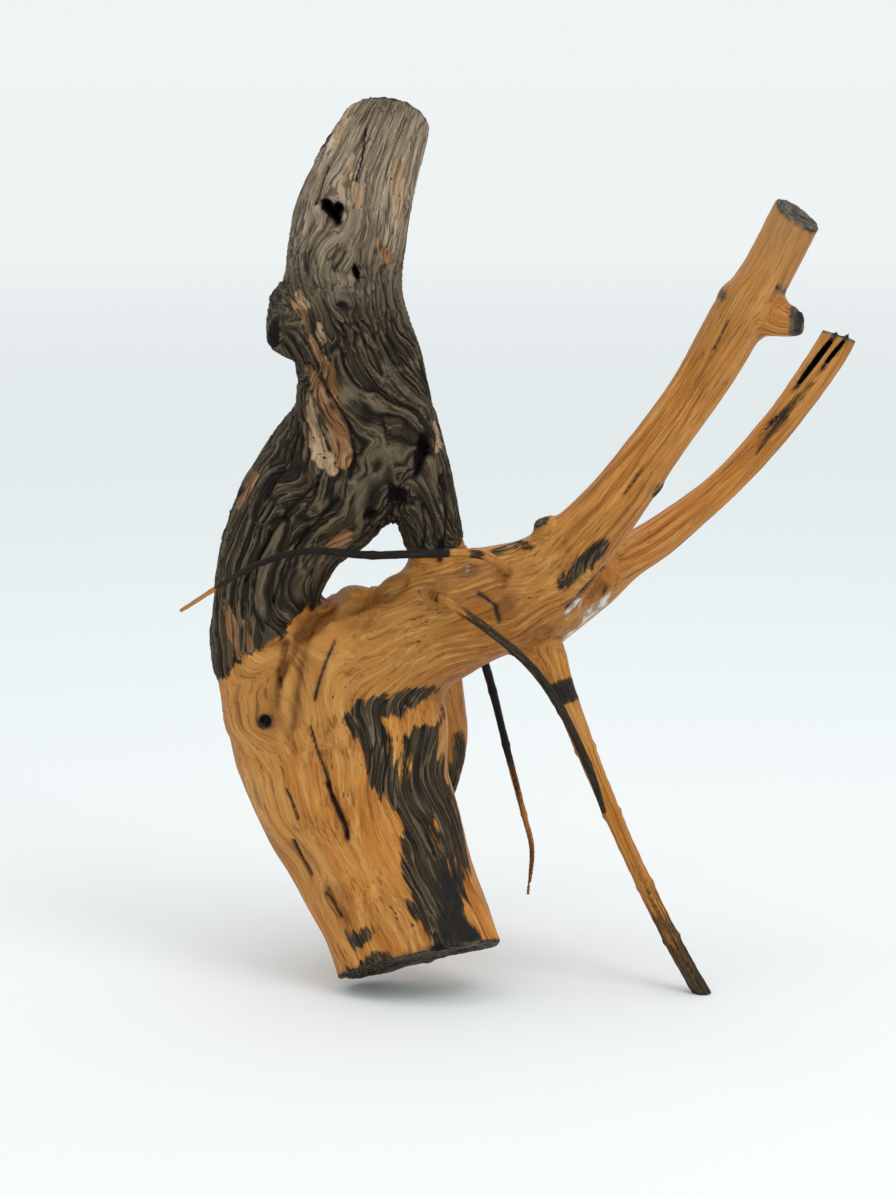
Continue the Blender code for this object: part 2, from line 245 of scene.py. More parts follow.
grey_strokes += [([(20, 199, 3.4), (28, 208, 4.6), (39, 219, 3)], FRONT),
                 ([(41, 188, 1.4), (42, 191, 1.4)], FRONT),
                 ([(63, 244, 1.6), (65, 248, 1.6)], FRONT), ([(92, 341, 1), (91, 345, 1.4)], FRONT),
                 ([(70, 270, 2), (84, 296, 4), (90, 310, 1)], BACK),
                 ([(84, 226, 1), (110, 252, 2.4), (124, 266, 1)], BACK),
                 ([(118, 256, 0.4), (132, 276, 1.6), (146, 292, 0.4)], FRONT)]
white_strokes += [([(20, 164, 1.5), (30, 172, 3), (40, 182, 3), (45, 188, 1)], FRONT),
                  ([(20, 182, 1), (27, 190, 1.5)], FRONT), ([(20, 166, 5), (40, 180, 4)], BACK)]
cracks += [([(22, -4, 186), (30, -6, 194), (40, -6, 204)], 1.2, 2.4),
           ([(48, -26, 244), (56, -30, 256)], 0.6, 0.8), ([(88, -47, 316), (94, -52, 330)], 0.6, 0.8)]
dents += [((92, -49, 343), (3, 5, 3), -1.6), ((64, -28, 247), (3, 6, 3), -2.0),
          ((96, -36, 320), (6, 8, 6), -1.0)]
knots += [((63, -24, 246), 4), ((92, -49, 343), 4), ((41, 19, 189), 4), ((108, -47, 333), 8),
          ((130, 36, 272), 3)]

# ---------------------------------------------------------------------------------------------- rear root
# A short root behind the foot. It gives the piece its third point on the floor.
thick.append(grow_limb("rear_root", [
    (-84, 62, -4, 8, 8), (-66, 58, 34, 10, 10.5), (-52, 54, 62, 11, 11.5), (-41, 50, 88, 11, 12),
    (-39, 45, 109, 12.5, 13), (-46, 36, 134, 18, 17), (-54, 28, 162, 22, 20)]))
grey_strokes += [([(-32, 112, 2), (-31, 96, 4), (-38, 84, 3)], FRONT), ([(-74, 12, 6), (-66, 34, 3)], BACK),
                 ([(-78, 8, 8), (-72, 20, 5)], FRONT)]
knots += [((-34, 38, 104), 4)]

# ---------------------------------------------------------------------------------------- prop and shoots
# A thin straight prop branch reaches down to the floor, and three shoots as thin as wire hang from the arm
# or reach out in front of the loop. Each has small nodes where leaves once grew.
thin = [grow_limb("prop_branch", [
    (0, 0, 173, 15), (12, -4, 161, 9.7), (19, -8, 145, 6.4), (34, -17, 108, 4.8), (52, -27, 67, 4.2),
    (72, -38, 27, 4.2), (89, -45, -3, 4.2)], start=250)]
thin.append(grow_limb("hanging_shoot", [
    (-48, -16, 194, 3), (-41, -31, 194, 2.8), (-21, -42, 183, 2.5), (2, -46, 164, 2.5),
    (18, -45, 141, 2.5), (32, -44, 111, 2.3), (39, -46, 90, 1.5)], start=200))
thin.append(grow_limb("reaching_shoot", [
    (-2, -12, 198, 3.5), (-19, -28, 214, 2.6), (-46, -33, 216, 2.3), (-75, -37, 216, 2.4),
    (-105, -44, 219, 1.9), (-131, -50, 212, 1.8), (-165, -58, 192, 1.2)], start=200))
thin.append(grow_limb("rear_shoot", [
    (-23, 22, 166, 3), (-15, 30, 138, 2.5), (-6, 32, 101, 2.2), (2, 31, 70, 1.8), (6, 30, 52, 1.6),
    (4, 30, 28, 1.0)], start=200))
# Each shoot's nodes, and its tones from the root to the tip: where each starts, then how grey and how black.
# The shoots are drawn a little more slender than the prop.
SHOOT_NODES = {"prop_branch": (282, 318, 352, 391, 420), "hanging_shoot": (232, 262, 300, 330),
               "reaching_shoot": (226, 244, 262, 284, 303, 330, 348), "rear_shoot": (233, 262, 300)}
SLENDER = 0.86
SHOOT_TONES = {
    "hanging_shoot": ((200, 0, 0), (222, 0, 0), (238, 0.7, 0.1), (290, 0.9, 0.4), (360, 0.8, 0.2)),
    "reaching_shoot": ((200, 0, 0), (228, 0.1, 0), (232, 0.7, 0.4), (236, 0.7, 0.4), (238, 0.2, 0),
                       (246, 0.2, 0), (248, 1, 1), (345, 1, 0.9), (362, 0.9, 0.4), (366, 0, 0)),
    "rear_shoot": ((200, 1, 1), (262, 1, 1), (274, 0.5, 0.2), (300, 0.35, 0.1), (330, 0.5, 0.1)),
    "prop_branch": ((250, 0, 0), (281, 0, 0), (284, 1, 0.8), (292, 1, 0.8), (295, 0, 0), (365, 0, 0),
                    (420, 0.65, 0), (470, 0.9, 0.1))}

# ------------------------------------------------------------------------------------------ grown together
# The limbs are one piece of wood, so they are melted into one skin and the joints between them are eased.
# Then the saw cuts, the broken ends and the open holes are taken out of the solid.
COARSE, MIDDLE, FINE, HOLE = 3.0, 1.2, 0.9, 0.5
KEPT_TRIANGLES = 195000
CUT_DEPTH = 44


def apply_modifiers(piece):
    """Makes every modifier on the piece part of its mesh."""
    bpy.context.view_layer.objects.active = piece
    for modifier in list(piece.modifiers):
        bpy.ops.object.modifier_apply(modifier=modifier.name)


def join(pieces):
    """Joins the pieces into the first one."""
    bpy.ops.object.select_all(action="DESELECT")
    for piece in pieces:
        piece.select_set(True)
    bpy.context.view_layer.objects.active = pieces[0]
    bpy.ops.object.join()
    return pieces[0]


def melt(piece, voxel, rounds):
    """Remeshes the piece as one closed skin of small squares and eases its creases."""
    remesh = piece.modifiers.new("Melt", "REMESH")
    remesh.mode = "VOXEL"
    remesh.voxel_size = voxel * MM
    if rounds:
        smooth = piece.modifiers.new("Ease", "SMOOTH")
        smooth.factor = 0.5
        smooth.iterations = rounds
    apply_modifiers(piece)


wood = join(thick)
wood.name = "grown_wood"
wood.data.name = "grown_wood"
melt(wood, COARSE, 5)
wood = join([wood] + thin)
melt(wood, MIDDLE, 0)

cutters = []
for point, size, turn in holes:
    bpy.ops.mesh.primitive_uv_sphere_add(segments=24, ring_count=16, radius=MM, location=Vector(point) * MM,
                                         rotation=[radians(angle) for angle in turn], scale=size)
    cutters.append(bpy.context.object)
cutters = [join(cutters)]
melt(cutters[0], HOLE, 0)
for point, outward, width in cuts:
    outward = Vector(outward).normalized()
    bpy.ops.mesh.primitive_cube_add(size=1, location=(Vector(point) + outward * CUT_DEPTH / 2) * MM,
                                    rotation=outward.to_track_quat("Z", "Y").to_euler(),
                                    scale=(width * MM, width * MM, CUT_DEPTH * MM))
    cutters.append(bpy.context.object)
taken = wood.modifiers.new("Taken", "BOOLEAN")
taken.operation = "DIFFERENCE"
taken.solver = "MANIFOLD"
taken.object = join(cutters)
apply_modifiers(wood)
bpy.data.objects.remove(cutters[0])
melt(wood, FINE, 2)

# ------------------------------------------------------------------------------------------- run of grain
# Every point learns which limb it lies on, how far up the grain it is and where it lies across it. Where
# limbs meet the answers flow into each other, as the fibres do.
skin = wood.data
count = len(skin.vertices)
spots = np.empty(count * 3)
skin.vertices.foreach_get("co", spots)
spots = spots.reshape(-1, 3) / MM
facing = np.empty(count * 3)
skin.vertex_normals.foreach_get("vector", facing)
facing = facing.reshape(-1, 3)


def ease(value, low, high):
    """Rises smoothly from 0 at low to 1 at high."""
    t = np.clip((value - low) / (high - low), 0, 1)
    return t * t * (3 - 2 * t)


# The lower edge of the grey wood runs up and across the front, from the left side to the second strand.
edge_x = (-165, -152, -139, -126, -114, -104, -97, -92, -85, -66, -57, -40, -25)
edge_z = (128, 142, 162, 171, 178, 186, 191, 196, 199, 206, 207, 208, 212)
border = np.interp(spots[:, 0], edge_x, edge_z) + np.clip(0.3 * (spots[:, 1] + 20), -5, 12)

# How sharply limbs flow into each other, for the grain and for its fineness; and how the trunk's grain turns.
NARROW_BLEND, WIDE_BLEND = 9, 4
SPIRAL, SPIRAL_START, SPIRAL_LENGTH = 0.013, 250, 85
FINENESS = 26
PATH_SPACING, BLOCK = 1.5, 20000
wide_shares, depths, sizes = {}, {}, {}
shares, grains, girths, runs, centres, alongs = {}, {}, {}, {}, {}, {}
for name, (stations, start) in limbs.items():
    path = limb_path(stations, PATH_SPACING)
    across, inward, ahead = limb_axes(path)
    steps = np.linalg.norm(np.diff(path[:, :3], axis=0), axis=1)
    along = start + np.concatenate([[0], np.cumsum(steps)])
    nearest = np.empty(count, int)
    for first in range(0, count, BLOCK):
        block = spots[first:first + BLOCK]
        apart = (path[:, :3] ** 2).sum(1) - 2 * block @ path[:, :3].T
        nearest[first:first + BLOCK] = apart.argmin(1)
    offset = spots - path[nearest, :3]
    x = (offset * across[nearest]).sum(1)
    y = (offset * inward[nearest]).sum(1)
    z = (offset * ahead[nearest]).sum(1)
    half_width, half_depth = path[nearest, 3], path[nearest, 4]
    girth = (half_width + half_depth) / 2
    reach = np.sqrt((x / half_width) ** 2 + (y / half_depth) ** 2 + (z / girth) ** 2)
    shares[name] = np.maximum(reach, 0.3) ** -NARROW_BLEND
    wide_shares[name] = np.maximum(reach, 0.3) ** -WIDE_BLEND
    rim = np.maximum(np.hypot(x / half_width, y / half_depth), 0.3)
    turned = np.arctan2(y / half_depth, x / half_width)
    if name == "trunk":
        turned -= SPIRAL * np.clip(along[nearest] + z - SPIRAL_START, 0, SPIRAL_LENGTH)
    grains[name] = np.column_stack([np.cos(turned), np.sin(turned), along[nearest] + z])
    depths[name] = rim * girth
    sizes[name] = np.sqrt(FINENESS * path[:, 3:5].mean())
    girths[name] = girth
    runs[name] = ahead[nearest]
    centres[name] = path[nearest, :3]
    alongs[name] = along[nearest] + z
for name in ("trunk", "strand"):
    shares[name] *= 0.002 + ease(spots[:, 2] - border, -12, 1)
total = sum(shares.values())
shares = {name: share / total for name, share in shares.items()}
grain = sum(shares[name][:, None] * grains[name] for name in limbs)
size = sum(wide_shares[name] * sizes[name] for name in limbs) / sum(wide_shares.values())
grain[:, :2] *= size[:, None]
girth = sum(shares[name] * girths[name] for name in limbs)
run = unit(sum(shares[name][:, None] * runs[name] for name in limbs))


LATTICE = 4096


def lattice_noise(points, seed):
    """Smooth noise between about -1 and 1, with one wave to each unit."""
    generator = np.random.default_rng(seed)
    slopes = unit(generator.normal(size=(LATTICE, 3)))
    shuffled = generator.permutation(LATTICE)
    cell = np.floor(points).astype(np.int64)
    inside = points - cell
    fade = inside ** 3 * (inside * (inside * 6 - 15) + 10)
    value = np.zeros(len(points))
    for corner in np.ndindex(2, 2, 2):
        step = np.array(corner)
        where = cell + step
        key = shuffled[where[:, 2] & (LATTICE - 1)]
        key = shuffled[(where[:, 1] + key) & (LATTICE - 1)]
        key = shuffled[(where[:, 0] + key) & (LATTICE - 1)]
        weight = np.prod(np.where(step == 1, fade, 1 - fade), axis=1)
        value += weight * (slopes[key] * (inside - step)).sum(1)
    return value * 1.6


# Fibres part round each knot and close again past it, and sway in slow, uneven waves. Every knot sits on
# the point of the skin that is nearest to it.
knot_spots = []
for point, radius in knots:
    middle = np.linalg.norm(spots - point, axis=1).argmin()
    knot_spots.append(middle)
    away = np.linalg.norm(spots - spots[middle], axis=1)
    centre = grain[middle]
    apart = grain - centre
    near = radius ** 2 / ((apart ** 2).sum(1) + 0.6 * radius ** 2)
    near = np.where(away < 6 * radius, near * np.clip(6 - away / radius, 0, 1), 0)
    grain[:, :2] = centre[:2] + apart[:, :2] * (1 - 0.85 * np.minimum(near, 1.1)[:, None])

on_trunk = sum(shares[name] for name in ("trunk", "trunk_stub", "stub_point", "trunk_knot", "strand"))
for axis in (0, 1):
    bend = lattice_noise(spots / 46, 1 + axis) * 6
    bend += lattice_noise(spots / 26, 3 + axis) * (0.8 + 1.8 * on_trunk)
    bend += lattice_noise(spots / 9, 5 + axis) * (0.3 + 0.7 * on_trunk)
    grain[:, axis] += bend * np.clip(girth / 28, 0, 1)

# Where two runs of fibre meet at a joint the grain is crowded, and the wood there looks plainer. So does the
# brown hollow under the arm's lip.
pairs = np.empty(len(skin.edges) * 2, int)
skin.edges.foreach_get("vertices", pairs)
pairs = np.concatenate([pairs.reshape(-1, 2), pairs.reshape(-1, 2)[:, ::-1]])
sums = np.bincount(pairs[:, 0], minlength=count)[:, None]
apart = np.linalg.norm(spots[pairs[:, 0]] - spots[pairs[:, 1]], axis=1)
change = np.linalg.norm(grain[pairs[:, 0], :2] - grain[pairs[:, 1], :2], axis=1)
crowded = np.minimum(change / np.maximum(apart, 0.1), 6)
crowded = np.bincount(pairs[:, 0], crowded, count) / sums[:, 0]
for round_made in range(6):
    crowded = np.bincount(pairs[:, 0], crowded[pairs[:, 1]], count) / sums[:, 0]
crowded = ease(crowded, 1.3, 2.4) * ease(girth, 9, 15)
LIP, LIP_REACH = (-99, -16, 184), 17
in_lip = np.exp(-((spots - LIP) ** 2).sum(1) / LIP_REACH ** 2)
crowded = np.maximum(crowded, np.minimum(1, 1.5 * in_lip))


def grain_noise(across_size, along_size, seed):
    """Noise that is drawn out along the grain."""
    return lattice_noise(grain / (across_size, across_size, along_size), seed)


def line_gap(across_size, along_size, seed):
    """How many millimetres to either side of the nearest wandering line along the grain each point lies."""
    here = grain_noise(across_size, along_size, seed)
    beside = [lattice_noise((grain + step) / (across_size, across_size, along_size), seed)
              for step in ((0.5, 0, 0), (0, 0.5, 0))]
    slope = 2 * np.hypot(beside[0] - here, beside[1] - here)
    return here / np.maximum(slope, 0.1 / across_size)


# ---------------------------------------------------------------------------------------- weathered zones
# Grey weathered wood covers the trunk; the rest has been worn back to honey wood, but for the marked bands.
# Each zone is a field in millimetres, positive inside, and its edge frays along the grain.
def painted(strokes):
    """How far inside the brush strokes each point lies; a stroke is (x, z, radius) points and a side."""
    best = np.full(count, -50.0)
    for points, side in strokes:
        for (x0, z0, r0), (x1, z1, r1) in zip(points, points[1:]):
            span = np.array((x1 - x0, z1 - z0), float)
            away = spots[:, (0, 2)] - (x0, z0)
            t = np.clip(away @ span / (span @ span), 0, 1)
            inside = r0 + (r1 - r0) * t - np.linalg.norm(away - t[:, None] * span, axis=1)
            best = np.maximum(best, inside - 40 * np.clip(0.05 - side * facing[:, 1], 0, 1))
    return best - 50 * on_shoot


# Grey wood needs some share of trunk or foot, and goes no further right than the second strand.
OLD_SHARE, GREY_END = 0.24, -20
on_shoot = sum(shares[name] for name in SHOOT_TONES) > 0.5
on_old_wood = on_trunk + shares["foot"]
weathered = np.minimum(spots[:, 2] - border, 60 * (on_old_wood - OLD_SHARE))
weathered = np.minimum(weathered, GREY_END - spots[:, 0])
weathered = np.minimum(np.maximum(weathered, painted(grey_strokes)), -painted(honey_strokes))
fray = grain_noise(2.6, 34, 11) * 5 + grain_noise(1.3, 15, 12) * 2
fray = fray * (1 - 0.9 * crowded) + lattice_noise(spots / 12, 13) * 2
raggedness = np.clip(girth / 18, 0.3, 1) * (0.35 + 0.65 * on_old_wood) * (1 - 0.5 * on_trunk)
weathered = weathered + fray * raggedness
char = np.zeros(count)
for name, tones in SHOOT_TONES.items():
    starts, greys, blacks = np.array(tones, float).T
    own = shares[name] > 0.5
    grey = np.interp(alongs[name], starts, greys)
    weathered = np.where(own, (grey - 0.5) * 6 + fray * 0.35, weathered)
    char = np.where(own, np.interp(alongs[name], starts, blacks), char)
char = np.maximum(char, ease(painted(black_strokes) + fray * 0.6, -1, 4))
is_weathered = ease(weathered, -1.0, 1.5)
tan = painted(tan_strokes) + fray * 0.2
pale = painted(pale_strokes) + fray * 0.25
white = painted(white_strokes) + fray * 0.4
bare = np.maximum(ease(tan, -1, 1), ease(pale, -1, 1))

# ------------------------------------------------------------------------------- furrows, cracks and ends
# The weathered wood has lost its soft fibres, so furrows run along it; the honey wood is only rippled.
# Cracks follow the grain, and the sawn and broken ends are rough. Near the trunk's top the wood is younger
# and finer, and paler, partly as painted light from above. A crack runs over the front or the back, whichever
# its first point is on.
YOUNG_AND_LIT_FROM, YOUNG_AND_LIT_TO = 308, 400
GROOVE, FINE_GROOVE, CREST, CREST_OFF = 0.62, 0.6, 0.6, 1.5
CRACK_MARGIN, HAIR_CRACK = 14, 1.5
is_end = np.zeros(count)
for point, outward, width in cuts:
    away = spots - point
    off = np.abs(away @ (np.array(outward) / np.linalg.norm(outward)))
    is_end = np.maximum(is_end, ease(off, 1.4, 0.7) * (np.linalg.norm(away, axis=1) < 0.7 * width))
# Paler and finer towards the trunk's top; the paleness is partly painted light from above.
young_and_lit = ease(spots[:, 2], YOUNG_AND_LIT_FROM, YOUNG_AND_LIT_TO)
furrowed = is_weathered * (1 - is_end) * (1 - 0.8 * bare) * np.clip(girth / 22, 0.12, 1)
furrowed = furrowed * (0.3 + 0.7 * on_trunk)
first_lines, second_lines = line_gap(5.5, 170, 23), line_gap(3.2, 90, 24)
groove = np.exp(-(first_lines / GROOVE) ** 2) * (1 - 0.5 * young_and_lit)
fine_groove = np.exp(-(second_lines / FINE_GROOVE) ** 2) * (0.35 + 0.3 * young_and_lit)
crest = np.exp(-((first_lines - CREST_OFF) / CREST) ** 2) * (1 - 0.4 * young_and_lit)
lift = lattice_noise(spots / 36, 21) * 0.04 * girth
lift += grain_noise(9, 90, 22) * 1.1 * np.clip(girth / 28, 0.1, 1)
lift += furrowed * (0.9 + 0.45 * crest - 1.5 * groove - 0.8 * fine_groove)
lift += (1 - is_weathered) * grain_noise(2.4, 40, 25) * 0.22 * np.clip(girth / 20, 0.15, 1)
lift -= 0.7 * bare * is_weathered
in_line = furrowed * np.maximum(groove, 0.6 * fine_groove)
on_crest = furrowed * crest

brown = np.zeros(count)
# How much painted shade darkens the inside of each hole and hair crack.
hole_and_crack_shade = np.zeros(count)
for points, width, depth in cracks:
    low, high = np.min(points, axis=0) - CRACK_MARGIN, np.max(points, axis=0) + CRACK_MARGIN
    side = FRONT if points[0][1] < 0 else BACK
    close = np.flatnonzero(((spots > low) & (spots < high)).all(1) & (facing[:, 1] * side > 0))
    here = spots[close]
    apart = np.full(len(close), 1e3)
    for start, end in zip(points, points[1:]):
        start, end = np.array(start, float), np.array(end, float)
        flat = (end - start) * (1, 0, 1)
        t = np.clip((here - start) @ flat / (flat @ flat), 0, 1)
        off = (here - start - t[:, None] * (end - start)) * (1, 0, 1)
        apart = np.minimum(apart, np.linalg.norm(off, axis=1))
    wide = width * (1 + 0.5 * lattice_noise(here / 7, 31))
    cut = np.exp(-(apart / wide) ** 2)
    lift[close] -= depth * cut
    stain = np.exp(-(apart / (1.8 * wide)) ** 2) * min(1, 0.35 * depth)
    brown[close] = np.maximum(brown[close], stain)
    # Hair cracks are painted dark inside, as painted shade.
    if width < HAIR_CRACK:
        hole_and_crack_shade[close] = np.maximum(hole_and_crack_shade[close], ease(cut, 0.45, 0.9))
for point, size, depth in dents:
    lift -= depth * np.exp(-(((spots - point) / size) ** 2).sum(1))
for middle, (point, radius) in zip(knot_spots, knots):
    away = np.linalg.norm(spots - spots[middle], axis=1)
    lift += 0.14 * radius * np.exp(-((away - 1.25 * radius) / (0.45 * radius)) ** 2)
    brown = np.maximum(brown, 0.7 * np.exp(-(away / (1.3 * radius)) ** 2))
# The insides of the holes are painted dark, as painted shade.
for point, size, turn in holes:
    turn = np.array(Matrix.Rotation(radians(turn[1]), 3, "Y"))
    inside = np.linalg.norm((spots - point) @ turn / size, axis=1)
    hole_and_crack_shade = np.maximum(hole_and_crack_shade, 1 - ease(inside, 1.02, 1.12))

# The last few millimetres of each stub are broken wood, and the rear branch ends in splinters.
BROKEN_TIPS = {"trunk_stub": 6, "trunk_knot": 6, "arm_stub": 3, "branch_stub": 6}
SPLIT_END, SPLINTER_LENGTH = 501, 14
broken = np.zeros(count, bool)
for name, length in BROKEN_TIPS.items():
    own = shares[name] > 0.6
    broken |= own & (alongs[name] > alongs[name][own].max() - length)
is_end = np.maximum(is_end, broken)
splinters = ease(np.abs(alongs["rear_branch"] - SPLIT_END), SPLINTER_LENGTH, 0)
splinters = splinters * (shares["rear_branch"] > 0.5)
lift += is_end * lattice_noise(spots / 2.2, 41) * 0.25
spots = spots + facing * (lift * np.clip(girth / 6, 0.15, 1))[:, None]
jag = splinters * (lattice_noise(grain / (2.5, 2.5, 60), 42) * 4 - 0.6)
spots = spots + run * jag[:, None]

# The shoots and the prop are made truly round again, with their small nodes.
for name, nodes_at in SHOOT_NODES.items():
    own = shares[name] > 0.9
    swell = sum(np.exp(-((alongs[name] - place) / 1.8) ** 2) for place in nodes_at)
    ring = girths[name] * (1 + 0.16 * swell + 0.07 * lattice_noise(spots / 5, 43))
    ring = ring * (1 if name == "prop_branch" else SLENDER)
    fit = centres[name] + unit(spots - centres[name]) * ring[:, None]
    own = own & (np.linalg.norm(spots - centres[name], axis=1) < 2 * girths[name]) & (girths[name] < 6)
    spots = np.where(own[:, None], fit, spots)
spots[:, 2] = np.maximum(spots[:, 2], 0)

# Hollows between swellings get painted shade, so every point learns how far it lies below its neighbours.
EVENING_ROUNDS = 60
level = spots.copy()
for round_made in range(EVENING_ROUNDS):
    around = [np.bincount(pairs[:, 0], level[pairs[:, 1], axis], count) for axis in range(3)]
    level = np.column_stack(around) / sums
cavity_shade = ((level - spots) * facing).sum(1)
cavity_shade = cavity_shade / (0.3 + 0.02 * girth)

ring_place = sum(shares[name] * depths[name] for name in limbs)
on_arm = shares["arm"] + 0.8 * shares["arm_stub"]


def store(name, values):
    """Keeps a value for each point of the skin, for the material to read."""
    kind = "FLOAT" if values.ndim == 1 else "FLOAT_VECTOR"
    layer = skin.attributes.new(name, kind, "POINT")
    layer.data.foreach_set("value" if values.ndim == 1 else "vector", values.astype(np.float32).ravel())


skin.vertices.foreach_set("co", (spots * MM).ravel())
fields = {"grain": grain, "weathered": weathered, "char": char, "tan": tan, "pale": pale, "white": white,
          "in_line": in_line, "on_crest": on_crest, "brown": brown, "hole_and_crack_shade": hole_and_crack_shade, "sawn": is_end,
          "cavity_shade": cavity_shade, "crowded": crowded, "young_and_lit": young_and_lit, "ring": ring_place, "on_arm": on_arm}
for name, values in fields.items():
    store(name, values)
skin.update()
thinner = wood.modifiers.new("Thin", "DECIMATE")
thinner.ratio = KEPT_TRIANGLES / (2 * len(skin.polygons))
apply_modifiers(wood)
skin = wood.data
skin.polygons.foreach_set("use_smooth", [True] * len(skin.polygons))

# ------------------------------------------------------------------------------------------- wood surface
# Honey wood with long fine fibres and dark flecks, dark grey-brown weathered wood with pale crests, old
# black stain, and tan, pale or white wood where the grey has flaked off. The ends are dark and dusty.
# Hollows, holes and hair cracks get painted shade, and the trunk's top is paler, partly as painted light from
# above.
surface = bpy.data.materials.new("driftwood_surface")
surface.use_nodes = True
nodes, links = surface.node_tree.nodes, surface.node_tree.links
shader = nodes["Principled BSDF"]


def node(kind, settings=None, **inputs):
    """Adds a node; an input is a value or another node's output."""
    made = nodes.new(kind)
    for name, value in (settings or {}).items():
        setattr(made, name, value)
    for name, value in inputs.items():
        socket = made.inputs[int(name[1:])] if name[0] == "i" and name[1:].isdigit() else made.inputs[name]
        if isinstance(value, bpy.types.NodeSocket):
            links.new(value, socket)
        else:
            if isinstance(value, tuple) and len(value) == 3 and socket.type == "RGBA":
                value = (*value, 1)
            socket.default_value = value
    return made


def attribute(name, output="Fac"):
    """A value kept on the skin."""
    return node("ShaderNodeAttribute", {"attribute_name": name}).outputs[output]


def sum_of(first, second):
    """The sum of two outputs or numbers."""
    return node("ShaderNodeMath", {"operation": "ADD"}, i0=first, i1=second).outputs[0]


def times(first, second):
    """The product of two outputs or numbers."""
    return node("ShaderNodeMath", {"operation": "MULTIPLY"}, i0=first, i1=second).outputs[0]


def spread(value, low, high, start=0.0, end=1.0):
    """The value's place between low and high, kept within start and end."""
    return node("ShaderNodeMapRange", {"interpolation_type": "SMOOTHSTEP"}, Value=value, i1=low, i2=high,
                i3=start, i4=end).outputs[0]


def fibres(size, stretch, detail=3.0):
    """Noise as fine as size in millimetres, drawn out along the grain, and plainer where that is crowded."""
    scaled = node("ShaderNodeVectorMath", {"operation": "MULTIPLY"}, i0=attribute("grain", "Vector"),
                  i1=(1 / size, 1 / size, 1 / (size * stretch)))
    grown = node("ShaderNodeTexNoise", None, Vector=scaled.outputs[0], Scale=1.0, Detail=detail,
                 Roughness=0.55)
    return node("ShaderNodeMix", None, i0=times(attribute("crowded"), 0.85), i2=grown.outputs["Fac"],
                i3=0.5).outputs[0]


def clouds(size, detail=3.0):
    """Noise in all directions, with lumps as large as size in millimetres."""
    return node("ShaderNodeTexNoise", None, Vector=node("ShaderNodeTexCoord").outputs["Object"],
                Scale=1000 / size, Detail=detail).outputs["Fac"]


def ramp(value, *stops):
    """A colour ramp; a stop is its place and its colour."""
    made = node("ShaderNodeValToRGB", None, Fac=value)
    elements = made.color_ramp.elements
    while len(elements) < len(stops):
        elements.new(0.5)
    for element, (place, colour) in zip(elements, stops):
        element.position = place
        element.color = (*colour, 1)
    return made.outputs["Color"]


def mix(share, first, second):
    """Two colours blended by a share."""
    return node("ShaderNodeMix", {"data_type": "RGBA"}, i0=share, i6=first, i7=second).outputs[2]


def distance(value, middle):
    """How far the value is from a middle one."""
    return node("ShaderNodeMath", {"operation": "ABSOLUTE"}, i0=sum_of(value, -middle)).outputs[0]


hair = fibres(0.7, 30, 3)
thread = fibres(1.7, 26, 4)
streak = fibres(4.6, 16, 3)
honey = ramp(streak, (0.34, (0.34, 0.108, 0.010)), (0.50, (0.50, 0.188, 0.028)), (0.66, (0.60, 0.275, 0.066)))
honey = mix(times(attribute("on_arm"), 0.6), honey, (0.25, 0.080, 0.004))
honey = mix(spread(clouds(60), 0.42, 0.62, 0.0, 0.45), honey, (0.46, 0.235, 0.058))
honey = mix(spread(clouds(38), 0.50, 0.66, 0.0, 0.45), honey, (0.34, 0.115, 0.014))
honey = mix(spread(thread, 0.47, 0.33, 0.0, 0.70), honey, (0.155, 0.048, 0.006))
honey = mix(spread(thread, 0.53, 0.68, 0.0, 0.55), honey, (0.62, 0.34, 0.100))
honey = mix(spread(hair, 0.47, 0.32, 0.0, 0.45), honey, (0.17, 0.055, 0.008))
flecks = times(spread(fibres(1.3, 6, 2), 0.33, 0.27), spread(clouds(30, 2), 0.42, 0.54))
honey = mix(flecks, honey, (0.045, 0.014, 0.003))
# Paler towards the trunk's top: partly younger wood, partly painted light from above.
honey = mix(times(attribute("young_and_lit"), 0.45), honey, (0.40, 0.225, 0.100))
# Painted shade in the hollows between swellings.
honey = mix(spread(attribute("cavity_shade"), 0.25, 1.5, 0.0, 0.6), honey, (0.13, 0.038, 0.005))
honey = mix(times(attribute("brown"), spread(thread, 0.34, 0.60, 1.0, 0.6)), honey, (0.085, 0.025, 0.004))

old = ramp(streak, (0.34, (0.018, 0.012, 0.005)), (0.52, (0.036, 0.025, 0.012)),
           (0.70, (0.072, 0.052, 0.027)))
old = mix(spread(clouds(26), 0.52, 0.68, 0.0, 0.5), old, (0.070, 0.036, 0.012))
old = mix(spread(thread, 0.57, 0.62, 0.0, 0.65), old, (0.165, 0.125, 0.075))
old = mix(spread(thread, 0.44, 0.37, 0.0, 0.85), old, (0.006, 0.004, 0.002))
old = mix(spread(hair, 0.45, 0.33, 0.0, 0.5), old, (0.009, 0.006, 0.003))
wander = fibres(3.4, 22, 1)
off_line, off_rim = distance(wander, 0.5), distance(wander, 0.56)
old = mix(spread(off_rim, 0.030, 0.008, 0.0, 0.5), old, (0.20, 0.15, 0.09))
old = mix(spread(off_line, 0.034, 0.012, 0.0, 0.9), old, (0.005, 0.003, 0.002))
young_and_lit = ramp(streak, (0.34, (0.26, 0.190, 0.122)), (0.52, (0.43, 0.325, 0.220)), (0.70, (0.58, 0.45, 0.32)))
fine = fibres(1.15, 34, 4)
young_and_lit = mix(spread(fine, 0.54, 0.64, 0.0, 0.65), young_and_lit, (0.66, 0.54, 0.40))
young_and_lit = mix(spread(fine, 0.45, 0.36, 0.0, 0.8), young_and_lit, (0.060, 0.042, 0.024))
young_and_lit = mix(spread(hair, 0.47, 0.33, 0.0, 0.6), young_and_lit, (0.055, 0.038, 0.022))
